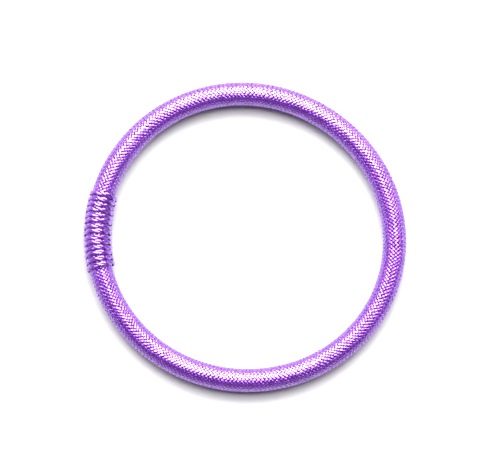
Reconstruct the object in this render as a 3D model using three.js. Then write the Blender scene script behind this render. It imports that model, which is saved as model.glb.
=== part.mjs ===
// A covered elastic loop: a hair elastic made from one length of round covered elastic cord.
// Seven rubber threads run side by side inside a braided yarn cover. The two ends of the cord meet
// in a glued butt joint, and a whipping of plied yarn is wound over it.
//
// The loop lies flat on z = 0 with its whipped joint on the -X side. Units are millimetres.
// Rubber and cover are each one length on the real loop. Here they are parted twice, where the loop
// crosses x = 0, so that the far half can draw away along +X as the elastic stretches.

import * as THREE from 'three';

// The cord and the loop.
const CORD_DIAMETER = 4.0;
const LOOP_DIAMETER = 50.0; // of the cord's centreline, on average
const OVALITY = 0.53; // how far the centreline's radius swings about its average, twice in a turn
const OVAL_AXIS = 169.2; // the long axis of the oval, in degrees from +X
const EGG = 0.085; // the same, three times in a turn, so that one end of the oval is blunter
const EGG_AXIS = -15.5;

// The braided cover and the rubber threads.
const COVER_WALL = 0.4;
const THREAD_DIAMETER = 0.86;
const THREAD_RING = 0.99; // radius of the ring of threads about the middle one
const RING_THREADS = 6;

// The glued butt joint.
const GLUE_THICKNESS = 0.3;
const GLUE_DIAMETER = 3.7;
const GLUE_GAP = 0.1; // between the glue and each end of the cord

// The whipping: one plied yarn, pressed flat against the cord.
const WHIPPING_TURNS = 14;
const WHIPPING_PITCH = 0.925;
const YARN_WIDTH = 0.68;
const YARN_THICKNESS = 0.3;
const YARN_CLEARANCE = 0.12; // from the cord's nominal surface to the yarn's

// The two partings, where one half draws away from the other.
const PARTING_GAP = 0.3;

// How fine the facets are.
const COVER_SIDES = 16;
const THREAD_SIDES = 6;
const FAR_STEPS = 22;
const END_STEPS = 12;
const YARN_STEPS_PER_TURN = 16;
const YARN_SIDES = 6;

const CORD_RADIUS = CORD_DIAMETER / 2;
const LOOP_RADIUS = LOOP_DIAMETER / 2;
const YARN_INNER_RADIUS = CORD_RADIUS + YARN_CLEARANCE;
const WHIPPING_RADIUS = YARN_INNER_RADIUS + YARN_THICKNESS;
const JOINT_ANGLE = Math.PI;
const FULL_TURN = 2 * Math.PI;

// The cord is lifted under the whipping, by as much as the whipping stands proud of it.
const LIFT = WHIPPING_RADIUS - CORD_RADIUS;
const LIFT_FULL_WITHIN = THREE.MathUtils.degToRad(17);
const LIFT_GONE_BEYOND = THREE.MathUtils.degToRad(50);

function loopRadius(angle) {
  const fromLongAxis = angle - THREE.MathUtils.degToRad(OVAL_AXIS);
  const fromEggAxis = angle - THREE.MathUtils.degToRad(EGG_AXIS);
  return LOOP_RADIUS + OVALITY * Math.cos(2 * fromLongAxis) + EGG * Math.cos(3 * fromEggAxis);
}

function cordHeight(angle) {
  const fromJoint = Math.abs(angle - JOINT_ANGLE);
  const lowered = THREE.MathUtils.smoothstep(fromJoint, LIFT_FULL_WITHIN, LIFT_GONE_BEYOND);
  return CORD_RADIUS + LIFT * (1 - lowered);
}

function centrePoint(angle) {
  const radius = loopRadius(angle);
  return new THREE.Vector3(radius * Math.cos(angle), radius * Math.sin(angle), cordHeight(angle));
}

// The cord's direction, the level outward direction across it, and the direction up from it.
function cordFrame(angle) {
  const step = 1e-4;
  const tangent = centrePoint(angle + step).sub(centrePoint(angle - step)).normalize();
  const outward = new THREE.Vector3().crossVectors(tangent, new THREE.Vector3(0, 0, 1)).normalize();
  const up = new THREE.Vector3().crossVectors(outward, tangent).normalize();
  return { tangent, outward, up };
}

// A line that runs beside the cord's centreline, between two angles round the loop.
class CordLine extends THREE.Curve {
  constructor(fromAngle, toAngle, outwardOffset = 0, upOffset = 0) {
    super();
    this.fromAngle = fromAngle;
    this.toAngle = toAngle;
    this.outwardOffset = outwardOffset;
    this.upOffset = upOffset;
  }

  angleAt(t) {
    return THREE.MathUtils.lerp(this.fromAngle, this.toAngle, t);
  }

  getPoint(t, target = new THREE.Vector3()) {
    const angle = this.angleAt(t);
    const { outward, up } = cordFrame(angle);
    return target
      .copy(centrePoint(angle))
      .addScaledVector(outward, this.outwardOffset)
      .addScaledVector(up, this.upOffset);
  }

  // Level frames, so that a flat of the section stays underneath all the way round.
  computeFrenetFrames(segments) {
    const frames = { tangents: [], normals: [], binormals: [] };
    for (let i = 0; i <= segments; i += 1) {
      const { tangent, outward, up } = cordFrame(this.angleAt(this.getUtoTmapping(i / segments)));
      frames.tangents.push(tangent);
      frames.normals.push(up);
      frames.binormals.push(outward);
    }
    return frames;
  }
}

// The whipping yarn's line: a right-handed helix about the cord, centred on the butt joint.
class WhippingLine extends THREE.Curve {
  constructor(radius) {
    super();
    this.radius = radius;
    this.halfAngle = (WHIPPING_TURNS * WHIPPING_PITCH) / 2 / loopRadius(JOINT_ANGLE);
  }

  outwardAt(t) {
    const angle = JOINT_ANGLE + this.halfAngle * (2 * t - 1);
    const turn = -FULL_TURN * WHIPPING_TURNS * t;
    const { outward, up } = cordFrame(angle);
    const direction = outward.multiplyScalar(Math.cos(turn)).addScaledVector(up, Math.sin(turn));
    return { centre: centrePoint(angle), direction };
  }

  getPoint(t, target = new THREE.Vector3()) {
    const { centre, direction } = this.outwardAt(t);
    return target.copy(centre).addScaledVector(direction, this.radius);
  }

  getSpacedPoints(divisions) {
    return this.getPoints(divisions);
  }

  // Frames that keep the yarn's flat side against the cord.
  computeFrenetFrames(segments) {
    const frames = { tangents: [], normals: [], binormals: [] };
    for (let i = 0; i <= segments; i += 1) {
      const t = i / segments;
      const tangent = this.getTangent(t);
      const { direction } = this.outwardAt(t);
      const across = new THREE.Vector3().crossVectors(tangent, direction).normalize();
      frames.tangents.push(tangent);
      frames.normals.push(new THREE.Vector3().crossVectors(across, tangent).normalize());
      frames.binormals.push(across);
    }
    return frames;
  }
}

// The points of a regular polygon whose flats lie on a circle, or an ellipse of two radii.
function flatSidedPoints(sides, radiusX, radiusY = radiusX) {
  const reach = 1 / Math.cos(Math.PI / sides);
  const points = [];
  for (let i = 0; i < sides; i += 1) {
    const angle = (FULL_TURN * (i + 0.5)) / sides;
    points.push(new THREE.Vector2(radiusX * reach * Math.cos(angle), radiusY * reach * Math.sin(angle)));
  }
  return points;
}

function roundSection(sides, radius, boreRadius = 0) {
  const section = new THREE.Shape(flatSidedPoints(sides, radius));
  if (boreRadius > 0) {
    section.holes.push(new THREE.Path(flatSidedPoints(sides, boreRadius)));
  }
  return section;
}

function sweep(section, line, steps) {
  return new THREE.ExtrudeGeometry(section, { extrudePath: line, steps, bevelEnabled: false });
}

const COVER_YARN = { color: 0x9a55e0, roughness: 0.35, metalness: 0.6 };
const WHIPPING_YARN = { color: 0x8a46d2, roughness: 0.45, metalness: 0.5 };
const RUBBER = { color: 0xd8c7a0, roughness: 0.8, metalness: 0.0 };
const GLUE = { color: 0xe8e2d0, roughness: 0.3, metalness: 0.0 };

const loop = new THREE.Group();

function addPiece(name, geometry, finish) {
  const mesh = new THREE.Mesh(geometry, new THREE.MeshStandardMaterial(finish));
  mesh.name = name;
  loop.add(mesh);
}

// The three stretches of the cord: out of the joint, round the far side, and back into the joint.
function cordStretches() {
  const atJoint = (GLUE_THICKNESS / 2 + GLUE_GAP) / loopRadius(JOINT_ANGLE);
  const atParting = PARTING_GAP / 2 / LOOP_RADIUS;
  const quarter = FULL_TURN / 4;
  return [
    { name: 'first_end', from: quarter + atParting, to: JOINT_ANGLE - atJoint, steps: END_STEPS },
    { name: 'far', from: -quarter + atParting, to: quarter - atParting, steps: FAR_STEPS },
    { name: 'second_end', from: JOINT_ANGLE + atJoint, to: 3 * quarter - atParting, steps: END_STEPS },
  ];
}

function addCover(stretch) {
  const section = roundSection(COVER_SIDES, CORD_RADIUS, CORD_RADIUS - COVER_WALL);
  const line = new CordLine(stretch.from, stretch.to);
  addPiece(`braided_cover_${stretch.name}`, sweep(section, line, stretch.steps), COVER_YARN);
}

function addThreads(stretch) {
  const section = roundSection(THREAD_SIDES, THREAD_DIAMETER / 2);
  const places = [[0, 0]];
  for (let i = 0; i < RING_THREADS; i += 1) {
    const angle = (FULL_TURN * i) / RING_THREADS;
    places.push([THREAD_RING * Math.cos(angle), THREAD_RING * Math.sin(angle)]);
  }
  places.forEach(([outwardOffset, upOffset], i) => {
    const line = new CordLine(stretch.from, stretch.to, outwardOffset, upOffset);
    addPiece(`rubber_thread_${i + 1}_${stretch.name}`, sweep(section, line, stretch.steps), RUBBER);
  });
}

function addGlue() {
  const halfAngle = GLUE_THICKNESS / 2 / loopRadius(JOINT_ANGLE);
  const line = new CordLine(JOINT_ANGLE - halfAngle, JOINT_ANGLE + halfAngle);
  addPiece('butt_joint_glue', sweep(roundSection(COVER_SIDES, GLUE_DIAMETER / 2), line, 1), GLUE);
}

function addWhipping() {
  const section = new THREE.Shape(flatSidedPoints(YARN_SIDES, YARN_THICKNESS / 2, YARN_WIDTH / 2));
  const line = new WhippingLine(YARN_INNER_RADIUS + YARN_THICKNESS / 2);
  const steps = Math.round(WHIPPING_TURNS * YARN_STEPS_PER_TURN);
  addPiece('whipping_yarn', sweep(section, line, steps), WHIPPING_YARN);
}

for (const stretch of cordStretches()) {
  addCover(stretch);
  addThreads(stretch);
}
addGlue();
addWhipping();

// The origin is under the middle of the loop's box, on the surface that it lies on.
const box = new THREE.Box3().setFromObject(loop);
const middle = box.getCenter(new THREE.Vector3());
loop.position.set(-middle.x, -middle.y, -box.min.z);

export default loop;
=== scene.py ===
"""The looks of a covered elastic loop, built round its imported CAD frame.

The loop is one length of round cord: seven rubber threads inside a braided cover of metallic yarn.
Its two ends meet in a glued butt joint at the -X side, under a whipping of two-ply metallic yarn.
Every yarn of the cover and both plies of the whipping are modelled. The loop's own lengths are in
millimetres until a mesh is made. Those of the floor, the softboxes and the camera's clipping are in
metres.
"""

import math

import bpy
import numpy as np
from mathutils import Matrix, Vector


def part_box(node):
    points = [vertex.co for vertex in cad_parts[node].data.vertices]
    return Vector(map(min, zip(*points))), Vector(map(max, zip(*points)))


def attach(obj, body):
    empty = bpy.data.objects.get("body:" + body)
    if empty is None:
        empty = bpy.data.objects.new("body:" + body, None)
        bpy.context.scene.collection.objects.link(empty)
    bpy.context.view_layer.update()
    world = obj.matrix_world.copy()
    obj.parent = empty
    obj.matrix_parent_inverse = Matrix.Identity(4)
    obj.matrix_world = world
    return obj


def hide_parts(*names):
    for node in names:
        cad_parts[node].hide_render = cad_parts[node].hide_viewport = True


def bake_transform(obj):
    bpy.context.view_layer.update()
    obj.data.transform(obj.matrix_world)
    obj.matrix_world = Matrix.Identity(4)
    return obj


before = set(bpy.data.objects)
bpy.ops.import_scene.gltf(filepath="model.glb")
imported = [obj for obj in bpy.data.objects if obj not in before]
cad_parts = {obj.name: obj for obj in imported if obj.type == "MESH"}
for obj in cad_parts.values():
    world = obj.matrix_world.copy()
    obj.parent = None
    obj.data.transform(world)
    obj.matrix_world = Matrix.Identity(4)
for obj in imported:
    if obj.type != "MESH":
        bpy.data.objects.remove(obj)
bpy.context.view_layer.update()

MM = 0.001
FULL_TURN = 2 * math.pi
UP = np.array([0.0, 0.0, 1.0])

# The cord and the loop, as the CAD has them.
CORD_RADIUS = 2.0
LOOP_RADIUS = 25.0
OVALITY = 0.53
OVAL_AXIS = math.radians(169.2)
EGG = 0.085
EGG_AXIS = math.radians(-15.5)
JOINT_ANGLE = math.pi
LIFT = 0.42
LIFT_FULL_WITHIN = math.radians(17)
LIFT_GONE_BEYOND = math.radians(50)
JOINT_GAP = 0.25  # from the middle of the butt joint to each end of the cord
TANGENT_STEP = 1e-4
TABLE_SIZE = 7201  # angles in the table that turns a distance along the cord into an angle

# The braided cover: as many yarns one way as the other, each over one and under one.
YARNS_EACH_WAY = 14
BRAID_PERIOD = 0.67  # along the cord, from one place where a yarn is on top to the next
BRAID_RADIUS = 1.885
BRAID_WAVE = 0.07
BRAID_YARN_WIDTH = 0.56
BRAID_YARN_THICKNESS = 0.1
BRAID_STEPS_PER_PERIOD = 6

# How irregular the braid is. Each is a wavelength along the cord and a size.
CROSSING_DRIFT = (9.0, 0.1)  # of the crossings, along the cord
COVER_TWIST = (23.0, 0.12)  # of the whole cover about the cord, in radians
YARN_DRIFT = (5.0, 0.02)  # of each yarn about the cord, in radians
YARN_LIFT = (2.4, 0.012)  # of each yarn towards or away from the cord's centre
YARN_SPREAD = (4.0, 0.02)  # of each yarn's width
YARN_ROLL = (1.8, 0.12)  # of each yarn about its own line, in radians

# The rubber threads inside it.
THREAD_RADIUS = 0.43
THREAD_RING = 0.99
RING_THREADS = 6
THREAD_STEPS = 220
THREAD_SIDES = 10

# The whipping.
WHIPPING_TURNS = 14
WHIPPING_PITCH = 0.925
WHIPPING_RADIUS = 2.28  # to the middle of the two-ply yarn
WHIPPING_SHIFT = 0.1  # how far it sits towards the inside of the loop
PLY_SIDE_OFFSET = 0.2
PLY_OUT_OFFSET = 0.07
PLY_WIDTH = 0.5
PLY_THICKNESS = 0.28
PLY_PITCH = 3.0
END_TURN_GAP = 0.2  # how far the lower end turn stands off along the cord from the rest
END_TURN_RISE = 0.08  # how far it stands out from the cord
END_TURN_REACH = 1.3  # both are full up to a turn short of this many turns, and gone here
WHIPPING_LEAN = 0.45  # how far the top of each turn lies towards the first end of the cord
WHIPPING_STEP = 0.1  # between rings, along the yarn
PLY_SIDES = 10

# How irregular the whipping is. Each is a wavelength along its yarn and a size.
TURN_DRIFT = (40.0, 0.08)  # of the turns, along the cord
TWIST_DRIFT = (30.0, 0.6)  # of the plies' twist, along the yarn
LEAN_DRIFT = (60.0, 0.08)
PLY_ROLL = (3.0, 0.15)  # of each ply about its own line, in radians

# The view: straight down, with the picture's right side turned a little from +X.
VIEW_ROLL = math.radians(2.5)
AIM_RIGHT = 0.762
AIM_UP = 0.69
VIEW_WIDTH = 85.63
LENS = 200.0
SENSOR = 36.0
CLIP_START = 0.01
CLIP_END = 20.0

# Yarn materials: linear colours, the range of roughness, and how the noise is drawn out into fibres.
YARN_DARK = (0.18, 0.02, 0.44)
YARN_MIDDLE = (0.24, 0.026, 0.55)
YARN_PALE = (0.3, 0.045, 0.65)
YARN_ROUGHNESS = (0.34, 0.46)
FIBRES = {"around_scale": 18.0, "along_scale": 0.9}
PATCHES = {"around_scale": 1.6, "along_scale": 0.35}
NUMBER_SCALE = 97.0  # sets each strand's noise well apart from the next strand's
GOLDEN_FRACTION = 0.618034  # spreads the strands' own numbers evenly over 0 to 1
GRAIN_PER_CLOUD = 8  # how much finer a plain material's grain is than its clouds

# The floor, the lights and the room.
FLOOR_HALF = 0.8
FLOOR_ROUGHNESS = 0.6
FLOOR_CLOUD_SCALE = 30.0
FLOOR_GREYS = (0.57, 0.59)
SOFTBOX_DISTANCE = 1.5
CEILING_DIM_FROM = 0.5  # heights of a direction, from 0 at the horizon to 1 straight up
WALLS_PALE_TO = 0.3
HORIZON_LIGHT = (0.9, 0.74, 1.0)
WALL_LIGHT = (0.85, 0.68, 0.95)
UPPER_LIGHT = (0.2, 0.15, 0.24)
CEILING_GREY = 0.1
NEAR_SIDE_STRENGTH = 0.5  # of the room's light at the bottom of the view, where 1 is full
FULL_STRENGTH_FROM = 0.1  # how far a direction leans to the top of the view before it is full


# ---- Where things are ----


def loop_radius(angle):
    oval = OVALITY * np.cos(2 * (angle - OVAL_AXIS))
    egg = EGG * np.cos(3 * (angle - EGG_AXIS))
    return LOOP_RADIUS + oval + egg


def cord_height(angle):
    from_joint = np.abs((angle - JOINT_ANGLE + math.pi) % FULL_TURN - math.pi)
    t = np.clip((from_joint - LIFT_FULL_WITHIN) / (LIFT_GONE_BEYOND - LIFT_FULL_WITHIN), 0, 1)
    lowered = t * t * (3 - 2 * t)
    return CORD_RADIUS + LIFT * (1 - lowered)


def joint_middle():
    low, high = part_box("butt_joint_glue")
    return np.array((low + high) / 2) / MM


# The CAD's glued joint says where the middle of the loop is in the row frame.
LOOP_MIDDLE = joint_middle() + np.array([float(loop_radius(JOINT_ANGLE)), 0.0, 0.0])
LOOP_MIDDLE[2] = 0.0


def centre_points(angle):
    radius = loop_radius(angle)
    flat = np.stack([radius * np.cos(angle), radius * np.sin(angle), cord_height(angle)], axis=1)
    return LOOP_MIDDLE + flat


def unit(vectors):
    return vectors / np.linalg.norm(vectors, axis=1, keepdims=True)


def cord_frames(angle):
    """The cord's centre, its level outward direction and its upward direction at each angle."""
    tangent = unit(centre_points(angle + TANGENT_STEP) - centre_points(angle - TANGENT_STEP))
    outward = unit(np.cross(tangent, UP))
    upward = np.cross(outward, tangent)
    return centre_points(angle), outward, upward


def angle_table():
    """Angles all the way round from the butt joint, and the distance along the cord to each."""
    angles = np.linspace(JOINT_ANGLE, JOINT_ANGLE + FULL_TURN, TABLE_SIZE)
    steps = np.linalg.norm(np.diff(centre_points(angles), axis=0), axis=1)
    return angles, np.concatenate([[0.0], np.cumsum(steps)])


TABLE_ANGLES, TABLE_ALONG = angle_table()
CORD_LENGTH = float(TABLE_ALONG[-1]) - 2 * JOINT_GAP


def on_cord(along, around, radius):
    """The points at distances along the cord from the joint, angles round it and radii from its centre.
    Also gives the direction away from the cord's centre at each point."""
    angle = np.interp(along % TABLE_ALONG[-1], TABLE_ALONG, TABLE_ANGLES)
    centre, outward, upward = cord_frames(angle)
    direction = outward * np.cos(around)[:, None] + upward * np.sin(around)[:, None]
    return centre + direction * np.asarray(radius)[..., None], direction


def wander(at, seed, wavelength, size):
    """A smooth irregular wave along a line. The same seed gives the same wave, so each use has its own."""
    random = np.random.default_rng(seed)
    total = np.zeros_like(at)
    for octave in range(4):
        stretch = random.uniform(0.7, 1.4) * (octave + 1)
        phase = random.uniform(0, FULL_TURN)
        total += np.sin(FULL_TURN * at * stretch / wavelength + phase) / (octave + 1)
    return size * total / 1.5


# ---- Mesh making ----


def flat_yarn_section():
    """A yarn lying flat: flat on top, with sloping shoulders, and a shallow keel below. It is 1 wide and
    a little under 1 thick, and its points start at the keel."""
    return np.array([[0.0, -0.5], [0.5, 0.1], [0.36, 0.42], [-0.36, 0.42], [-0.5, 0.1]])


def round_section(sides):
    angle = FULL_TURN * (np.arange(sides) / sides - 0.25)
    return 0.5 * np.stack([np.cos(angle), np.sin(angle)], axis=1)


def strand(middle, out, width, thickness, roll, section):
    """The points of one swept strand, ring after ring. out is the side that faces away from the cord, and
    roll is how far the strand is turned from that about its own line."""
    tangent = unit(np.gradient(middle, axis=0))
    straight_out = unit(out - tangent * (out * tangent).sum(1, keepdims=True))
    straight_across = np.cross(tangent, straight_out)
    roll = np.broadcast_to(roll, len(middle))[:, None]
    out = straight_out * np.cos(roll) + straight_across * np.sin(roll)
    across = np.cross(tangent, out)
    width = np.broadcast_to(width, len(middle))[:, None, None]
    thickness = np.broadcast_to(thickness, len(middle))[:, None, None]
    sideways = across[:, None, :] * section[None, :, :1] * width
    outwards = out[:, None, :] * section[None, :, 1:] * thickness
    return middle[:, None, :] + sideways + outwards


def strand_faces(rings, sides, first):
    """The quads between the rings of one strand, the ring and side of their corners, and its two end
    faces."""
    ring, side = np.meshgrid(np.arange(rings - 1), np.arange(sides), indexing="ij")
    corner_ring = np.stack([ring, ring, ring + 1, ring + 1], axis=-1).reshape(-1)
    corner_side = np.stack([side, side + 1, side + 1, side], axis=-1).reshape(-1)
    here = first + ring * sides + side
    beside = first + ring * sides + (side + 1) % sides
    quads = np.stack([here, beside, beside + sides, here + sides], axis=-1).reshape(-1, 4)
    start = list(range(first + sides - 1, first - 1, -1))
    last = first + (rings - 1) * sides
    end = list(range(last, last + sides))
    return quads, corner_ring, corner_side, [start, end]


def make_piece(name, strands, section, material):
    """One mesh of several strands. Each strand is a dict of its middle line, out directions, width and
    thickness, with a roll if it has one. The yarn UV map runs round each strand in U and along it, in
    millimetres, in V. Each point also keeps its strand's own number."""
    sides = len(section)
    points, number, quads, uvs, ends = [], [], [], [], []
    first = 0
    for i, s in enumerate(strands):
        swept = strand(s["middle"], s["out"], s["width"], s["thickness"], s.get("roll", 0.0), section)
        swept[:, :, 2] = np.maximum(swept[:, :, 2], 0.0)  # it lies on the table
        rings = len(swept)
        steps = np.linalg.norm(np.diff(s["middle"], axis=0), axis=1)
        distance = np.concatenate([[0.0], np.cumsum(steps)])
        points.append(swept.reshape(-1, 3))
        number.append(np.full(rings * sides, (i * GOLDEN_FRACTION) % 1.0))
        made, corner_ring, corner_side, caps = strand_faces(rings, sides, first)
        quads.append(made)
        uvs.append(np.stack([corner_side / sides, distance[corner_ring]], axis=1))
        ends += caps
        first += rings * sides

    mesh = bpy.data.meshes.new(name)
    quads = np.concatenate(quads)
    corners = np.concatenate([quads.ravel(), np.array(ends).ravel()])
    quad_starts = 4 * np.arange(len(quads))
    end_starts = 4 * len(quads) + sides * np.arange(len(ends))
    mesh.vertices.add(first)
    mesh.vertices.foreach_set("co", (np.concatenate(points) * MM).astype(np.float32).ravel())
    mesh.loops.add(len(corners))
    mesh.loops.foreach_set("vertex_index", corners.astype(np.int32))
    mesh.polygons.add(len(quads) + len(ends))
    starts = np.concatenate([quad_starts, end_starts]).astype(np.int32)
    mesh.polygons.foreach_set("loop_start", starts)
    mesh.update(calc_edges=True)
    mesh.validate()
    attribute = mesh.attributes.new("strand_number", "FLOAT", "POINT")
    attribute.data.foreach_set("value", np.concatenate(number).astype(np.float32))
    uvs.append(np.zeros((sides * len(ends), 2)))
    layer = mesh.uv_layers.new(name="yarn")
    layer.data.foreach_set("uv", np.concatenate(uvs).astype(np.float32).ravel())
    mesh.polygons.foreach_set("use_smooth", np.ones(len(mesh.polygons), dtype=bool))
    mesh.materials.append(material)
    piece = bpy.data.objects.new(name, mesh)
    bpy.context.scene.collection.objects.link(piece)
    return piece


# ---- Materials ----


def new_material(name):
    material = bpy.data.materials.new(name)
    material.use_nodes = True
    nodes = material.node_tree.nodes
    nodes.clear()
    output = nodes.new("ShaderNodeOutputMaterial")
    shader = nodes.new("ShaderNodeBsdfPrincipled")
    material.node_tree.links.new(shader.outputs["BSDF"], output.inputs["Surface"])
    return material, shader


def strand_space(tree, around_scale, along_scale):
    """Coordinates that run along each strand, so that a noise in them is drawn out into fibres."""
    uv = tree.nodes.new("ShaderNodeUVMap")
    uv.uv_map = "yarn"
    separate = tree.nodes.new("ShaderNodeSeparateXYZ")
    tree.links.new(uv.outputs["UV"], separate.inputs[0])
    number = tree.nodes.new("ShaderNodeAttribute")
    number.attribute_name = "strand_number"
    combine = tree.nodes.new("ShaderNodeCombineXYZ")
    parts = (
        (separate.outputs["X"], around_scale),
        (separate.outputs["Y"], along_scale),
        (number.outputs["Fac"], NUMBER_SCALE),
    )
    for i, (value, scale) in enumerate(parts):
        multiply = tree.nodes.new("ShaderNodeMath")
        multiply.operation = "MULTIPLY"
        multiply.inputs[1].default_value = scale
        tree.links.new(value, multiply.inputs[0])
        tree.links.new(multiply.outputs[0], combine.inputs[i])
    return combine.outputs[0]


def noise(tree, vector, scale, detail=2.0):
    node = tree.nodes.new("ShaderNodeTexNoise")
    node.inputs["Scale"].default_value = scale
    node.inputs["Detail"].default_value = detail
    tree.links.new(vector, node.inputs["Vector"])
    return node.outputs["Fac"]


def ramp(tree, value, stops):
    node = tree.nodes.new("ShaderNodeValToRGB")
    tree.links.new(value, node.inputs["Fac"])
    elements = node.color_ramp.elements
    while len(elements) < len(stops):
        elements.new(0.5)
    for element, (position, colour) in zip(elements, stops):
        element.position = position
        element.color = (*colour, 1.0)
    return node.outputs["Color"]


def grey(value):
    return (value, value, value)


def metallic_yarn(name, fibre_depth):
    """Metallic fibres side by side along each strand, under a clear film, with slightly uneven colour
    and polish."""
    material, shader = new_material(name)
    tree = material.node_tree
    fibres = noise(tree, strand_space(tree, **FIBRES), 1.0, detail=3.0)
    patches = noise(tree, strand_space(tree, **PATCHES), 1.0)
    colour = ramp(tree, patches, [(0.3, YARN_DARK), (0.5, YARN_MIDDLE), (0.7, YARN_PALE)])
    tree.links.new(colour, shader.inputs["Base Color"])
    low, high = YARN_ROUGHNESS
    polish = ramp(tree, fibres, [(0.3, grey(low)), (0.7, grey(high))])
    tree.links.new(polish, shader.inputs["Roughness"])
    shader.inputs["Metallic"].default_value = 0.9
    shader.inputs["Anisotropic"].default_value = 0.8
    tangent = tree.nodes.new("ShaderNodeTangent")
    tangent.direction_type = "UV_MAP"
    tangent.uv_map = "yarn"
    tree.links.new(tangent.outputs[0], shader.inputs["Tangent"])
    shader.inputs["Sheen Weight"].default_value = 0.06
    shader.inputs["Sheen Roughness"].default_value = 0.4
    shader.inputs["Sheen Tint"].default_value = (0.75, 0.5, 0.95, 1.0)
    shader.inputs["Coat Weight"].default_value = 1.0
    shader.inputs["Coat Roughness"].default_value = 0.2
    shader.inputs["Coat IOR"].default_value = 2.2
    bump = tree.nodes.new("ShaderNodeBump")
    bump.inputs["Strength"].default_value = 1.0
    bump.inputs["Distance"].default_value = fibre_depth * MM
    tree.links.new(fibres, bump.inputs["Height"])
    tree.links.new(bump.outputs["Normal"], shader.inputs["Normal"])
    return material


def plain_material(name, low, high, scale, roughness, bump_distance):
    """A dull or glossy solid with faint cloudy colour and a finely uneven surface."""
    material, shader = new_material(name)
    tree = material.node_tree
    position = tree.nodes.new("ShaderNodeTexCoord").outputs["Object"]
    clouds = noise(tree, position, scale)
    tree.links.new(ramp(tree, clouds, [(0.3, low), (0.7, high)]), shader.inputs["Base Color"])
    shader.inputs["Roughness"].default_value = roughness
    grain = noise(tree, position, scale * GRAIN_PER_CLOUD)
    bump = tree.nodes.new("ShaderNodeBump")
    bump.inputs["Distance"].default_value = bump_distance * MM
    tree.links.new(grain, bump.inputs["Height"])
    tree.links.new(bump.outputs["Normal"], shader.inputs["Normal"])
    return material


COVER_YARN = metallic_yarn("cover_yarn", fibre_depth=0.006)
WHIPPING_YARN = metallic_yarn("whipping_yarn", fibre_depth=0.025)
RUBBER = plain_material(
    "rubber", low=(0.62, 0.5, 0.3), high=(0.7, 0.58, 0.38), scale=900.0, roughness=0.75, bump_distance=0.01
)
GLUE = plain_material(
    "glue", low=(0.78, 0.72, 0.6), high=(0.85, 0.8, 0.68), scale=600.0, roughness=0.25, bump_distance=0.01
)


# ---- The camera ----

VIEW_RIGHT = np.array([math.cos(VIEW_ROLL), math.sin(VIEW_ROLL), 0.0])
VIEW_UP = np.array([-math.sin(VIEW_ROLL), math.cos(VIEW_ROLL), 0.0])


def make_camera():
    data = bpy.data.cameras.new("camera")
    data.lens = LENS
    data.sensor_width = SENSOR
    distance = VIEW_WIDTH * LENS / SENSOR
    place = LOOP_MIDDLE + AIM_RIGHT * VIEW_RIGHT + AIM_UP * VIEW_UP + (distance + CORD_RADIUS) * UP
    camera = bpy.data.objects.new("camera", data)
    camera.matrix_world = Matrix.Translation(Vector(place * MM)) @ Matrix.Rotation(VIEW_ROLL, 4, "Z")
    data.clip_start = CLIP_START
    data.clip_end = CLIP_END
    bpy.context.scene.collection.objects.link(camera)
    bpy.context.scene.camera = camera


make_camera()


# ---- The cord: the braided cover and the threads inside it ----


def braid_strands(way):
    """The yarns of the cover that wind one way: +1, or -1 for the other way."""
    periods = CORD_LENGTH / BRAID_PERIOD
    steps = int(periods * BRAID_STEPS_PER_PERIOD)
    along = JOINT_GAP + np.linspace(0.0, CORD_LENGTH, steps + 1)
    wave = FULL_TURN * (along + wander(along, 11, *CROSSING_DRIFT)) / BRAID_PERIOD
    pitch = BRAID_PERIOD * YARNS_EACH_WAY
    strands = []
    for i in range(YARNS_EACH_WAY):
        seed = 100 * (2 + way) + i
        around = FULL_TURN * i / YARNS_EACH_WAY + way * wave * BRAID_PERIOD / pitch
        around = around + wander(along, 12, *COVER_TWIST) + wander(along, seed, *YARN_DRIFT)
        radius = BRAID_RADIUS + way * BRAID_WAVE * np.cos(wave) + wander(along, seed + 50, *YARN_LIFT)
        middle, out = on_cord(along, around, radius)
        strands.append(
            {
                "middle": middle,
                "out": out,
                "width": BRAID_YARN_WIDTH + wander(along, seed + 70, *YARN_SPREAD),
                "thickness": BRAID_YARN_THICKNESS,
                "roll": wander(along, seed + 90, *YARN_ROLL),
            }
        )
    return strands


def thread_strand(side, height):
    """A rubber thread this far to the outer side of the cord's centre, and this far above it."""
    along = JOINT_GAP + np.linspace(0.0, CORD_LENGTH, THREAD_STEPS + 1)
    angle = np.interp(along, TABLE_ALONG, TABLE_ANGLES)
    centre, outward, upward = cord_frames(angle)
    middle = centre + side * outward + height * upward
    return {"middle": middle, "out": upward, "width": 2 * THREAD_RADIUS, "thickness": 2 * THREAD_RADIUS}


def stretches_with_loop(piece):
    """Bakes the piece's placement into its mesh."""
    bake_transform(piece)


STRETCH_NAMES = ("first_end", "far", "second_end")

braid_one_way = make_piece("braid_yarns_one_way", braid_strands(1), flat_yarn_section(), COVER_YARN)
braid_other_way = make_piece("braid_yarns_other_way", braid_strands(-1), flat_yarn_section(), COVER_YARN)
for braid in (braid_one_way, braid_other_way):
    stretches_with_loop(braid)
    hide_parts(*[f"braided_cover_{name}" for name in STRETCH_NAMES])

thread_places = [(0.0, 0.0)]
for i in range(RING_THREADS):
    turn = FULL_TURN * i / RING_THREADS
    thread_places.append((THREAD_RING * math.cos(turn), THREAD_RING * math.sin(turn)))
for i, (side, height) in enumerate(thread_places):
    line = thread_strand(side, height)
    thread = make_piece(f"rubber_thread_{i + 1}", [line], round_section(THREAD_SIDES), RUBBER)
    stretches_with_loop(thread)
    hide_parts(*[f"rubber_thread_{i + 1}_{name}" for name in STRETCH_NAMES])


# ---- The whipped joint ----


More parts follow.
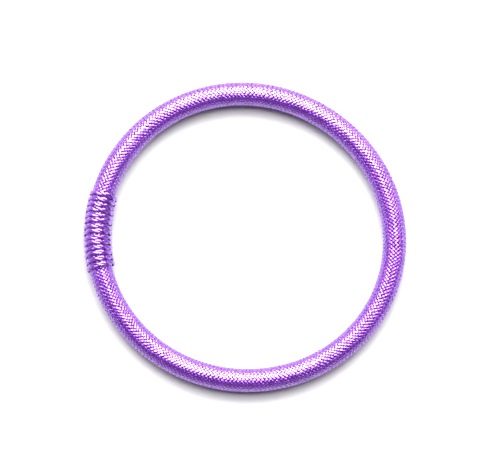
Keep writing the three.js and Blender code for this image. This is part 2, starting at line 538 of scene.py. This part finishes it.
def whipping_strand(ply):
    """One of the two plies. It winds over the top of the cord from the outside to the inside as it
    climbs towards the first end of the cord."""
    length = WHIPPING_TURNS * WHIPPING_PITCH
    yarn_length = WHIPPING_TURNS * math.hypot(FULL_TURN * WHIPPING_RADIUS, WHIPPING_PITCH)
    steps = int(yarn_length / WHIPPING_STEP)
    t = np.linspace(0.0, 1.0, steps + 1)
    yarn = t * yarn_length
    around = FULL_TURN * WHIPPING_TURNS * t - math.pi / 2
    # Each turn lies straight across the top of the cord and does its climbing underneath.
    climb_underneath = WHIPPING_PITCH / FULL_TURN * np.cos(around)
    climb = length * (t - 0.5) + climb_underneath + wander(yarn, 31, *TURN_DRIFT)
    turn = FULL_TURN * (yarn + wander(yarn, 33, *TWIST_DRIFT)) / PLY_PITCH + math.pi * ply
    lean = (WHIPPING_LEAN + wander(yarn, 34, *LEAN_DRIFT)) * np.sin(around)
    sideways = PLY_SIDE_OFFSET * np.cos(turn)
    end_turn = np.clip(END_TURN_REACH - WHIPPING_TURNS * t, 0, 1)
    radius = WHIPPING_RADIUS + PLY_OUT_OFFSET * np.sin(turn) + END_TURN_RISE * end_turn
    radius -= WHIPPING_SHIFT * np.cos(around)
    middle, out = on_cord(END_TURN_GAP * end_turn - (climb + lean + sideways), around, radius)
    roll = wander(yarn, 35 + ply, *PLY_ROLL)
    return {"middle": middle, "out": out, "width": PLY_WIDTH, "thickness": PLY_THICKNESS, "roll": roll}


plies = [whipping_strand(ply) for ply in range(2)]
whipping = make_piece("whipping_two_ply_yarn", plies, round_section(PLY_SIDES), WHIPPING_YARN)
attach(whipping, "joint_half")
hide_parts("whipping_yarn")

glue_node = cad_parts["butt_joint_glue"]
glue_node.data.materials.clear()
glue_node.data.materials.append(GLUE)


# ---- The table, the light and the room ----

def make_floor():
    material, shader = new_material("white_table")
    shader.inputs["Roughness"].default_value = FLOOR_ROUGHNESS
    tree = material.node_tree
    position = tree.nodes.new("ShaderNodeTexCoord").outputs["Object"]
    clouds = noise(tree, position, FLOOR_CLOUD_SCALE)
    low, high = FLOOR_GREYS
    colour = ramp(tree, clouds, [(0.3, grey(low)), (0.7, grey(high))])
    tree.links.new(colour, shader.inputs["Base Color"])
    mesh = bpy.data.meshes.new("white_table")
    half = FLOOR_HALF
    corners = [(-half, -half, 0), (half, -half, 0), (half, half, 0), (-half, half, 0)]
    mesh.from_pydata(corners, [], [(0, 1, 2, 3)])
    mesh.materials.append(material)
    floor = bpy.data.objects.new("white_table", mesh)
    bpy.context.scene.collection.objects.link(floor)


def make_softbox(name, width_angle, height_angle, tilt_up, tilt_right, radiance):
    """A softbox that spans these angles, in degrees, as the loop sees it, and is tilted from straight
    overhead towards the top and the right of the view."""
    width = 2 * SOFTBOX_DISTANCE * math.tan(math.radians(width_angle) / 2)
    height = 2 * SOFTBOX_DISTANCE * math.tan(math.radians(height_angle) / 2)
    light = bpy.data.lights.new(name, "AREA")
    light.shape = "RECTANGLE"
    light.size = width
    light.size_y = height
    light.energy = radiance * math.pi * width * height
    rightward = math.tan(math.radians(tilt_right))
    upward = math.tan(math.radians(tilt_up))
    direction = Vector(rightward * VIEW_RIGHT + upward * VIEW_UP + UP).normalized()
    softbox = bpy.data.objects.new(name, light)
    softbox.location = Vector(LOOP_MIDDLE) * MM + direction * SOFTBOX_DISTANCE
    softbox.rotation_euler = direction.to_track_quat("Z", "Y").to_euler()
    softbox.visible_camera = False
    bpy.context.scene.collection.objects.link(softbox)


def make_room():
    """Pale, faintly lavender walls low down, and a dim ceiling. The side at the bottom of the view gives
    less light than the rest."""
    world = bpy.data.worlds.new("room")
    bpy.context.scene.world = world
    world.use_nodes = True
    tree = world.node_tree
    tree.nodes.clear()
    output = tree.nodes.new("ShaderNodeOutputWorld")
    background = tree.nodes.new("ShaderNodeBackground")
    direction = tree.nodes.new("ShaderNodeTexCoord").outputs["Generated"]
    separate = tree.nodes.new("ShaderNodeSeparateXYZ")
    tree.links.new(direction, separate.inputs[0])
    stops = [
        (0.0, HORIZON_LIGHT),
        (WALLS_PALE_TO, WALL_LIGHT),
        (CEILING_DIM_FROM, UPPER_LIGHT),
        (1.0, grey(CEILING_GREY)),
    ]
    tree.links.new(ramp(tree, separate.outputs["Z"], stops), background.inputs["Color"])
    towards_top = tree.nodes.new("ShaderNodeVectorMath")
    towards_top.operation = "DOT_PRODUCT"
    towards_top.inputs[1].default_value = VIEW_UP
    tree.links.new(direction, towards_top.inputs[0])
    side = tree.nodes.new("ShaderNodeMapRange")
    side.inputs["From Min"].default_value = -1.0
    side.inputs["From Max"].default_value = FULL_STRENGTH_FROM
    side.inputs["To Min"].default_value = NEAR_SIDE_STRENGTH
    side.inputs["To Max"].default_value = 1.0
    tree.links.new(towards_top.outputs["Value"], side.inputs["Value"])
    tree.links.new(side.outputs[0], background.inputs["Strength"])
    tree.links.new(background.outputs[0], output.inputs["Surface"])


make_floor()
make_softbox("softbox_main", width_angle=66, height_angle=26, tilt_up=43, tilt_right=1, radiance=16.5)
make_softbox("softbox_lower", width_angle=66, height_angle=20, tilt_up=19, tilt_right=1, radiance=8.0)
make_room()
bpy.context.scene.view_settings.view_transform = "Standard"
